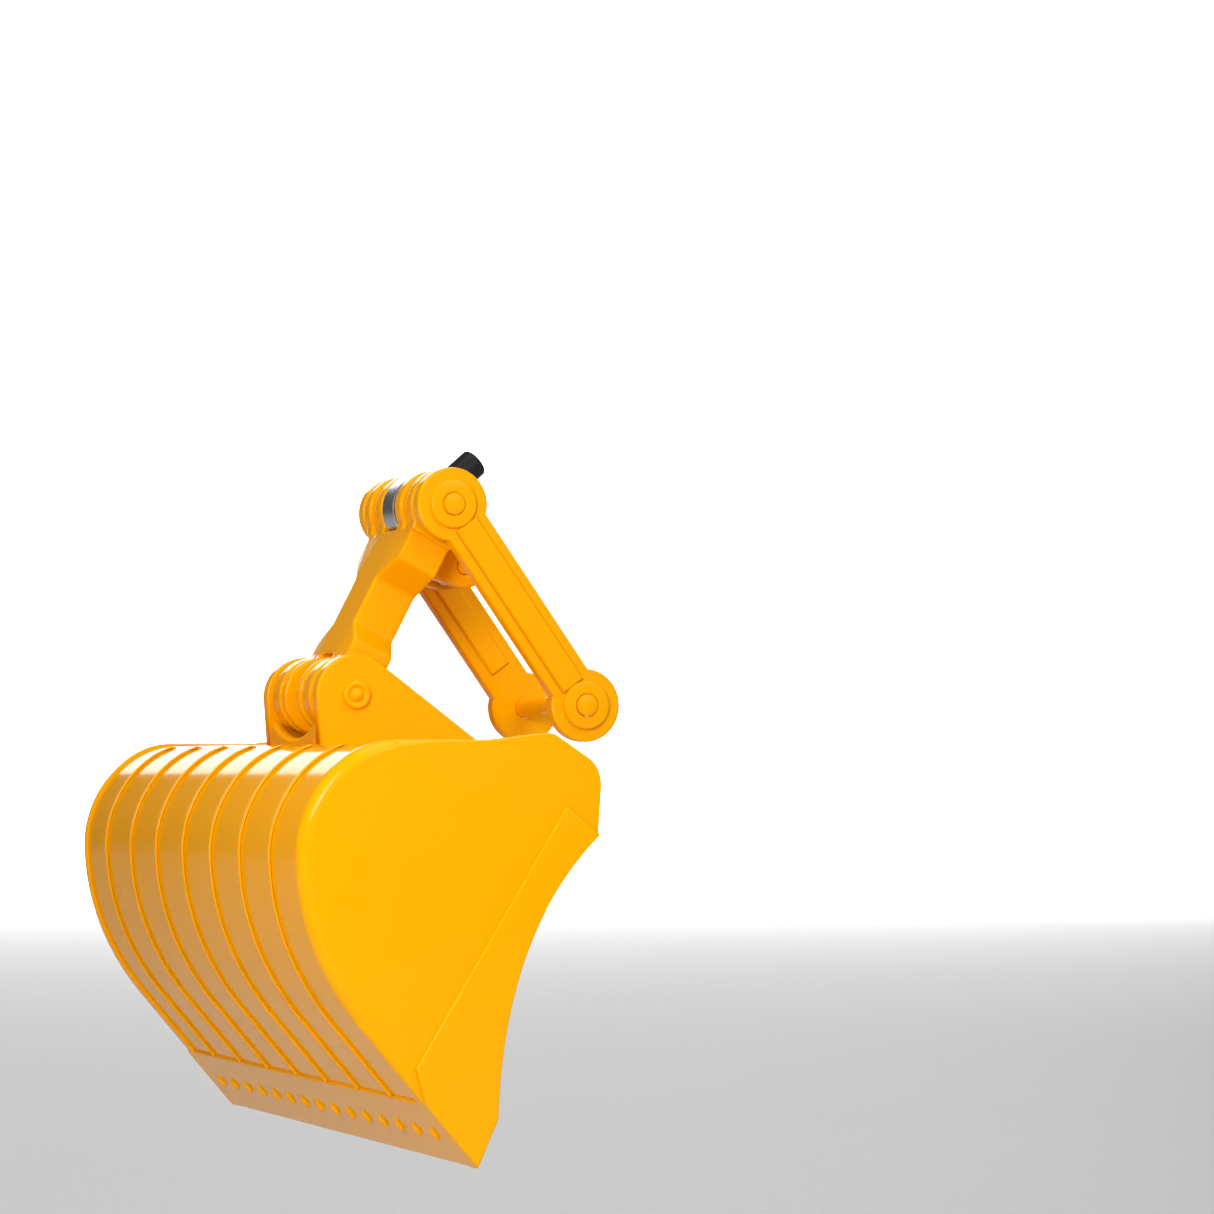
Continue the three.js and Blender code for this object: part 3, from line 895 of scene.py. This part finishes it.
# %% [markdown]
# Each lug is a round end and a neck that runs into the beam. They come in pairs, one on each
# side of the arm's plane, and the lever's lugs hang from the beam's upper end.

# %% Link lugs
LOW_LUGS = ((2.5, 3.75), (5.0, 8.0))   # from and to, along the pin
TOP_LUGS = ((2.75, 5.25), (7.5, 9.75))
LEVER_LUG = (2.75, 5.25)
LOW_LUG_R = 5.3
TOP_LUG_R = 5.0
LEVER_LUG_R = 3.0
LEVER_ROOT = (1.5, 22.2)
LEVER_ROOT_R = 2.2


def to_link(point):
    """A pin centre in the upright link's own plane, as (across, up)."""
    x = point[0] - LINK_PIN[0]
    z = point[1] - LINK_PIN[1]
    c, s = math.cos(LINK_LEAN), math.sin(LINK_LEAN)
    return (x * c - z * s, x * s + z * c)


def join_lug(side, reach, *outlines):
    y0, y1 = sorted(side * y for y in reach)
    for outline in outlines:
        cut(link, plate(outline, y0, y1), "UNION")


low_at = (0, 0)
top_at = (0, LINK_LENGTH)
lever_at = to_link(LEVER_PIN)
low_neck = [(-3.6, 0), (LINK_BACK, 4.5), (LINK_FRONT, 4.5), (3.9, 0)]
top_neck = [(LINK_BACK, 24), (-3.6, LINK_LENGTH), (3.6, LINK_LENGTH), (LINK_FRONT, 24)]

for side in (-1, 1):
    for reach in LOW_LUGS:
        join_lug(side, reach, disc(low_at, LOW_LUG_R), low_neck)
    for reach in TOP_LUGS:
        join_lug(side, reach, disc(top_at, TOP_LUG_R), top_neck)
    join_lug(side, LEVER_LUG, wrapped(LEVER_ROOT, LEVER_ROOT_R, lever_at, LEVER_LUG_R))
print("link with lugs", len(link.data.polygons), "faces")

# %% [markdown]
# Room is cleared between the inner lugs for the spacer, the cylinder's eye and the lever's eye,
# and the bores are drilled. The many joins meet at odd angles where a Bevel would tangle, so a
# fine Remesh and a little smoothing round them all, outer and inner corners alike, as a mould
# does.

# %% Link bores, rounding and place
drill(link, low_at, LOW_LUG_R + 0.5, LOW_LUGS[0][0])
drill(link, top_at, TOP_LUG_R + 0.5, TOP_LUGS[0][0])
drill(link, lever_at, 2.95, LEVER_LUG[0])
drill(link, low_at, PIN_R + RUN_GAP)
drill(link, top_at, PIN_R + RUN_GAP)
drill(link, lever_at, LEVER_PIN_R + FIT_GAP)

VOXEL = 0.24
apply(link, "REMESH", mode="VOXEL", voxel_size=VOXEL * MM)
apply(link, "SMOOTH", factor=0.5, iterations=4)
link.data.polygons.foreach_set("use_smooth", [True] * len(link.data.polygons))
hand_over(swung(link, LINK_PIN, LINK_LEAN), "bucket_link_body")

# %% [markdown]
# The spacer keeps the two inner lugs apart on the link pin, and the lever pin is pressed
# through the round lugs.

# %% Spacer and lever pin
SPACER_END = LOW_LUGS[0][0] - 0.05
spacer_bore = PIN_R + RUN_GAP
spacer_profile = [
    (spacer_bore, -SPACER_END), (2.15, -SPACER_END), (2.3, -SPACER_END + 0.15),
    (2.3, SPACER_END - 0.15), (2.15, SPACER_END), (spacer_bore, SPACER_END),
    (spacer_bore, -SPACER_END),
]
hand_over(smooth(turned(LINK_PIN, spacer_profile)), "link_pin_spacer")
hand_over(smooth(turned(LEVER_PIN, rod_profile(LEVER_PIN_R, LEVER_LUG[1], 0.2), 48)), "lever_pin")

# %% [markdown]
# ## Tipping links
#
# Each is a bar with a round boss at both ends and a raised strip down its middle. The strip's
# rounded sides give the two soft grooves beside it. A lower strip runs down the inner face, and
# stops clear of the bucket link's lugs.

# %% Tipping links
tip_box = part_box("tipping_link_left")
STRIP_PROUD = 0.45
TIP_IN = -tip_box[1].y / MM
TIP_OUT = -tip_box[0].y / MM - STRIP_PROUD
TIP_BOSS_R = 5
TIP_HALF = 3.2
COLLAR_R = 3.3
STRIP_HALF = 1.8
STRIP_FROM = COLLAR_R - 0.1
INNER_PROUD = 0.3
INNER_HALF = 1.6
INNER_FROM = 6.6

tip_span = math.dist(TOP_PIN, STICK_PIN)
tip_dir = tuple((b - a) / tip_span for a, b in zip(TOP_PIN, STICK_PIN))


def on_tip(u, v):
    """A point u mm along the link from the top pin and v mm to its side."""
    x = TOP_PIN[0] + tip_dir[0] * u - tip_dir[1] * v
    z = TOP_PIN[1] + tip_dir[1] * u + tip_dir[0] * v
    return (x, z)


def tipping_outline():
    heading = math.atan2(tip_dir[1], tip_dir[0])
    reach = math.asin(TIP_HALF / TIP_BOSS_R)
    first = arc(TOP_PIN, TIP_BOSS_R, heading + reach, heading + FULL_TURN - reach, 56)
    second = arc(STICK_PIN, TIP_BOSS_R, heading - math.pi + reach, heading + math.pi - reach, 56)
    return first + second


def strip(start, half, y0, y1):
    """A bar down the link's middle, as far from both of its pins."""
    end = tip_span - start
    corners = ((start, -half), (end, -half), (end, half), (start, half))
    return plate([on_tip(u, v) for u, v in corners], y0, y1)


tip_link = soften_rims(plate(tipping_outline(), -TIP_OUT, -TIP_IN), 0.36)
drill(tip_link, TOP_PIN, PIN_R + FIT_GAP)
drill(tip_link, STICK_PIN, PIN_R + FIT_GAP)
smooth(tip_link)

outer = soften_rims(strip(STRIP_FROM, STRIP_HALF, -TIP_OUT - STRIP_PROUD, -TIP_OUT + 0.3), 0.42)
inner = soften_rims(strip(INNER_FROM, INNER_HALF, -TIP_IN - INNER_PROUD, -TIP_IN + 0.4), 0.36)
pick(tip_link, outer, inner)
bpy.ops.object.join()
far_tip = mirrored(tip_link)
hand_over(tip_link, "tipping_link_left")
hand_over(far_tip, "tipping_link_right")

# %% [markdown]
# ## Collars and the two upper pins
#
# A raised collar rings each pin on the outer faces, and the pin's end stands a little proud of
# it. The collar's rim is drawn as a short curve, because it is where the light catches.

# %% Collars and pins
COLLAR_PROUD = 0.5
PIN_PROUD = 0.25
collar_bore = PIN_R + FIT_GAP
collar_profile = [
    (collar_bore, 0), (COLLAR_R, 0), (COLLAR_R, 0.24), (COLLAR_R - 0.06, 0.38),
    (COLLAR_R - 0.16, 0.47), (COLLAR_R - 0.3, COLLAR_PROUD), (collar_bore + 0.16, COLLAR_PROUD),
    (collar_bore, COLLAR_PROUD - 0.14), (collar_bore, 0),
]
for word, side in (("left", -1), ("right", 1)):
    for place, centre in (("top", TOP_PIN), ("stick", STICK_PIN)):
        collar = turned(centre, [(r, side * (TIP_OUT + y)) for r, y in collar_profile])
        hand_over(smooth(collar), f"{place}_pin_collar_{word}")
PIN_END = TIP_OUT + COLLAR_PROUD + PIN_PROUD
hand_over(smooth(turned(TOP_PIN, rod_profile(PIN_R, PIN_END, 0.22))), "top_pin")
hand_over(smooth(turned(STICK_PIN, rod_profile(PIN_R, PIN_END, 0.22))), "stick_pin")

# %% [markdown]
# ## The cylinder's eye and the lever's eye
#
# A black hub turns on each pin inside a plated rim. The cylinder's hub ends in a round spigot
# and the lever's in a flat stub, where the rest of the machine is pushed on. Both shanks leave
# through an opening in the rim.

# %% Shanks
EYE_HALF = 2.2
ROD_RISE = 41                          # degrees above +X
SPIGOT_FROM, SPIGOT_TO = 2.5, 10.5     # from the pin's centre
SPIGOT_R = 2.05
SPIGOT_LEAD = 0.35                     # chamfer at its end
LEVER_RISE = 14
STUB_FROM, STUB_TO = 1.4, 5.6
STUB_HALF = 1.4
STUB_HALF_WIDE = 1.5


def spigot(gap=0.0):
    """The cylinder eye's round shank, spun about the X axis and then swung to its angle."""
    r = SPIGOT_R + gap
    lead_at = SPIGOT_TO - SPIGOT_LEAD
    piece = chain([
        (SPIGOT_FROM, 0, 0), (SPIGOT_FROM, r, 0), (lead_at, r, 0),
        (SPIGOT_TO, r - SPIGOT_LEAD, 0), (SPIGOT_TO, 0, 0),
    ])
    bpy.ops.mesh.spin(steps=48, angle=FULL_TURN, center=(0, 0, 0), axis=(1, 0, 0))
    close_up()
    return swung(piece, TOP_PIN, -math.radians(ROD_RISE))


def flat_stub(gap=0.0):
    """The lever eye's flat shank."""
    half, wide, end = STUB_HALF + gap, STUB_HALF_WIDE + gap, STUB_TO + gap
    outline = [(STUB_FROM, -half), (end, -half), (end, half), (STUB_FROM, half)]
    return swung(plate(outline, -wide, wide), LEVER_PIN, -math.radians(LEVER_RISE))


print("shanks reach", SPIGOT_TO, "and", STUB_TO, "mm from their pins")

# %% Eyes and rims
RIM_SOFT = 0.14


def eye(name, centre, radius, hub_r, bore, shank):
    """A hub with its shank, and the rim round it with an opening for the shank."""
    hub = turned(centre, [(bore, -EYE_HALF), (hub_r, -EYE_HALF), (hub_r, EYE_HALF),
                          (bore, EYE_HALF), (bore, -EYE_HALF)], 64)
    cut(hub, shank(), "UNION")
    drill(hub, centre, bore)
    hand_over(soften(clear_flats(hub), 0.15, 2), name)
    inside = hub_r + FIT_GAP
    rim = turned(centre, [
        (inside, -EYE_HALF), (radius - RIM_SOFT, -EYE_HALF), (radius, -EYE_HALF + RIM_SOFT),
        (radius, EYE_HALF - RIM_SOFT), (radius - RIM_SOFT, EYE_HALF), (inside, EYE_HALF),
        (inside, -EYE_HALF),
    ])
    hand_over(smooth(cut(rim, shank(FIT_GAP))), name + "_rim")


eye("rod_eye", TOP_PIN, 5, 4.3, PIN_R + RUN_GAP, spigot)
eye("lever_eye", LEVER_PIN, 2.45, 1.95, LEVER_PIN_R + RUN_GAP, flat_stub)

# %% [markdown]
# ## The studio
#
# Gloss is only as good as what it reflects, so the studio is built for its reflections, in
# metres. The floor is large, pale and plain. It lies well below the part, because the bucket
# hangs from its pin.

# %% Floor
FLOOR_Z = -0.13
FLOOR_DARK = (0.56, 0.56, 0.56, 1)
FLOOR_PALE = (0.59, 0.59, 0.59, 1)

bpy.ops.object.select_all(action="DESELECT")
bpy.ops.mesh.primitive_plane_add(size=30, location=(0, 0, FLOOR_Z))
floor = bpy.context.object
floor.name = "studio_floor"
floor_paint = Paint(bpy.data.materials.new("pale_floor"))
tone = floor_paint.mix(floor_paint.noise(3.0), FLOOR_DARK, FLOOR_PALE)
floor.data.materials.append(floor_paint.finish(Base_Color=tone, Roughness=0.6))
floor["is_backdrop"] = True
print("floor at", FLOOR_Z)

# %% [markdown]
# A glowing wall stands far behind. It is the white that the eye sees past the bucket, and the
# gloss of the round back picks it up as a crisp bright patch.

# %% Backdrop
BACKDROP_WIDE, BACKDROP_TALL = 2.18, 1.7
BACKDROP_AWAY = 3.2
BACKDROP_LEFT = 0.36
BACKDROP_GLOW = 2.3

bpy.ops.object.select_all(action="DESELECT")
bpy.ops.mesh.primitive_plane_add(size=1)
backdrop = bpy.context.object
backdrop.name = "studio_backdrop"
backdrop.scale = (BACKDROP_WIDE, BACKDROP_TALL, 1)
backdrop.rotation_euler = (math.pi / 2, 0, -CAMERA_TURN)
to_right = Vector((math.cos(CAMERA_TURN), -math.sin(CAMERA_TURN), 0))
straight_back = Vector((math.sin(CAMERA_TURN), math.cos(CAMERA_TURN), 0))
up = Vector((0, 0, BACKDROP_TALL / 2 + FLOOR_Z))
backdrop.location = straight_back * BACKDROP_AWAY - to_right * BACKDROP_LEFT + up
bpy.ops.object.transform_apply(location=True, rotation=True, scale=True)
glow = Paint(bpy.data.materials.new("white_backdrop"))
shade = glow.mix(glow.noise(0.8), (0.97, 0.97, 0.97, 1), (1, 1, 1, 1))
backdrop.data.materials.append(glow.finish(
    Base_Color=shade, Emission_Color=shade, Emission_Strength=BACKDROP_GLOW, Roughness=0.8))
backdrop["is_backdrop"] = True
print("backdrop", BACKDROP_AWAY, "m behind")

# %% [markdown]
# A broad key lights the side from the front and a large box fills from above. A small lamp near
# the bucket's left end makes the back fade towards the far wall. None of them is seen by the
# camera itself.

# %% Lamps
def softbox(name, place, aim, size, power):
    bpy.ops.object.light_add(type="AREA", location=Vector(place))
    lamp = bpy.context.object
    lamp.name = name
    lamp.data.shape = "RECTANGLE"
    lamp.data.size, lamp.data.size_y = size
    lamp.data.energy = power
    lamp.visible_camera = False
    lamp.rotation_euler = (Vector(aim) - Vector(place)).to_track_quat("-Z", "Y").to_euler()
    return lamp


MIDDLE = (-0.015, 0, 0)
LEFT_END = (-0.04, -0.04, -0.01)
softbox("key_front", (0.5, -1.7, 0.9), MIDDLE, (1.2, 1.0), 7)
softbox("top_box", (0.2, -0.3, 1.6), MIDDLE, (1.8, 1.6), 19)
softbox("end_lamp", (-0.2, -0.21, 0.08), LEFT_END, (0.1, 0.1), 0.52)

# %% [markdown]
# The surroundings are brighter in front than behind. A glossy back that mirrored bright
# surroundings would lose its colour.

# %% Surroundings
BEHIND = (0.10, 0.10, 0.10, 1)
IN_FRONT = (0.42, 0.415, 0.40, 1)

sky = Paint(bpy.data.worlds.new("studio"), "Background")
direction = sky.node("ShaderNodeTexCoord", output="Generated")
away = sky.node("ShaderNodeSeparateXYZ", {}, {0: direction}, "Y")
front = sky.node("ShaderNodeMapRange", {}, {"Value": away, "From Min": 0.3, "From Max": -0.5})
bpy.context.scene.world = sky.finish(Color=sky.mix(front, BEHIND, IN_FRONT))
print("world", bpy.context.scene.world.name)

# %% [markdown]
# ## Measuring
#
# The nodes still left plain are listed, and the size of everything shown is printed.
# The new pieces may not outgrow the frame.

# %% Sizes and finish
left_plain = [n for n, o in frame["nodes"].items() if not o.hide_render]
print("nodes still plain:", left_plain)
low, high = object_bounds()
print("visual size mm", [round(v / MM, 1) for v in high - low])
